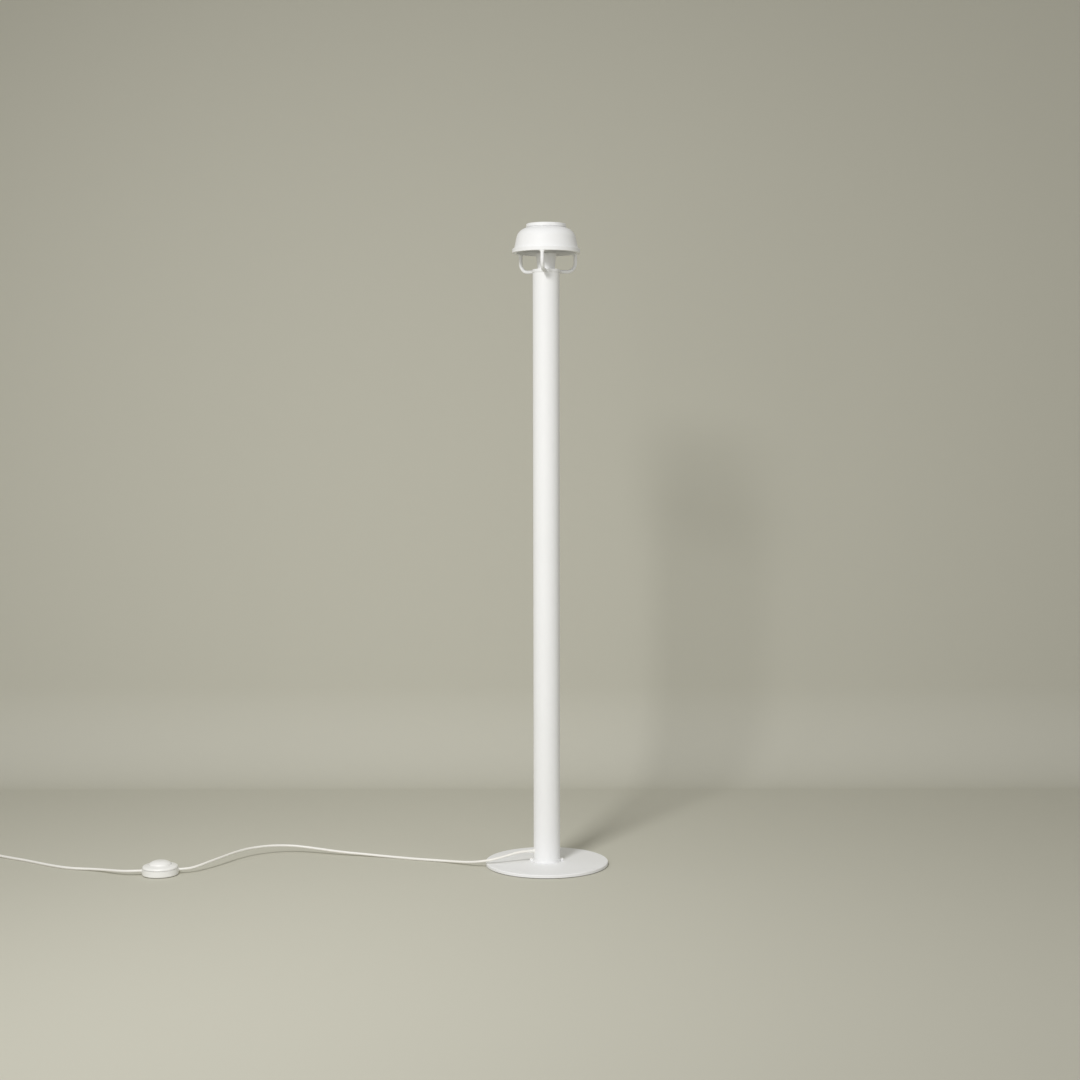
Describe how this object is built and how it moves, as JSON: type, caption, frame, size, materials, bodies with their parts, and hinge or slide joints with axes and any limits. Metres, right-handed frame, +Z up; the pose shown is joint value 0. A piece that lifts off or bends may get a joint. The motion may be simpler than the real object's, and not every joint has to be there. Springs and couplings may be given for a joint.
{
  "type": "mushroom floor lamp",
  "caption": "Slim floor lamp: round weighted base, straight tube, and a small metal dome on a ring cage over an upward light cup; foot switch, coiled lead and plug.",
  "frame": {"origin": "centre of the base, on the floor", "axes": "+Z up along the tube; -Y is the front, where one arm of the cage stands; the mains lead leaves near -X"},
  "size_m": [1.529, 0.3762, 1.4454],
  "materials": {
    "white_coat": "satin powder coat",
    "felt": "short felt",
    "zinc_steel": "zinc plated",
    "white_screw": "satin white",
    "fin_aluminium": "as machined",
    "board_white": "solder mask",
    "phosphor": "silicone",
    "opal": "frosted",
    "white_moulding": "fine satin",
    "switch_white": "soft gloss",
    "cord_white": "smooth soft sheath",
    "foot_rubber": "matte",
    "latch_black": "matte",
    "terminal_brass": "bright",
    "pin_nickel": "nickel plated",
    "core_brown": "smooth",
    "tie_white": "woven strap"
  },
  "bodies": {
    "lamp": {"base_plate": "white_coat", "base_pad": "felt", "base_washer": "zinc_steel", "base_nut": "zinc_steel", "foot_collar": "white_coat", "collar_screws": "white_screw", "column_tube": "white_coat", "tie_rod": "zinc_steel", "hub_nut": "zinc_steel", "cord_gland": "white_moulding", "gland_nut": "white_moulding", "mains_lead": "cord_white", "head_lead": "cord_white", "led_driver": "white_moulding", "driver_brackets": "zinc_steel", "rod_spacer": "white_moulding", "cage": "white_coat", "dome_shell": "white_coat", "dome_cap": "white_coat", "cap_washer": "zinc_steel", "cap_screw": "zinc_steel", "dome_grub_screws": "zinc_steel", "lamp_cup": "white_coat", "heat_sink": "fin_aluminium", "led_board": "board_white", "led_emitter": "phosphor", "board_screws": "zinc_steel", "led_lens": "opal", "lens_bezel": "white_moulding", "switch_base": "switch_white", "switch_feet": "foot_rubber", "switch_cover": "switch_white", "switch_screws": "zinc_steel", "switch_latch": "latch_black", "switch_terminals": "terminal_brass", "cord_clamps": "white_moulding", "clamp_screws": "zinc_steel", "sheath_ends": "cord_white", "cores": "core_brown", "button_spring": "zinc_steel", "cord_to_switch": "cord_white", "cord_to_coil": "cord_white", "cord_coil": "cord_white", "cord_to_plug": "cord_white", "coil_tie": "tie_white", "plug_relief": "cord_white", "plug_body": "switch_white", "plug_pins": "pin_nickel"},
    "button": {"switch_button": "switch_white"}
  },
  "joints": [
    {"name": "button_press", "type": "slide", "parent": "lamp", "child": "button", "axis": [0, 0, -1], "range_m": [0, 0.0035], "stiffness_N_per_m": 500, "springref_m": -0.004, "deforming": ["button_spring"]}
  ]
}
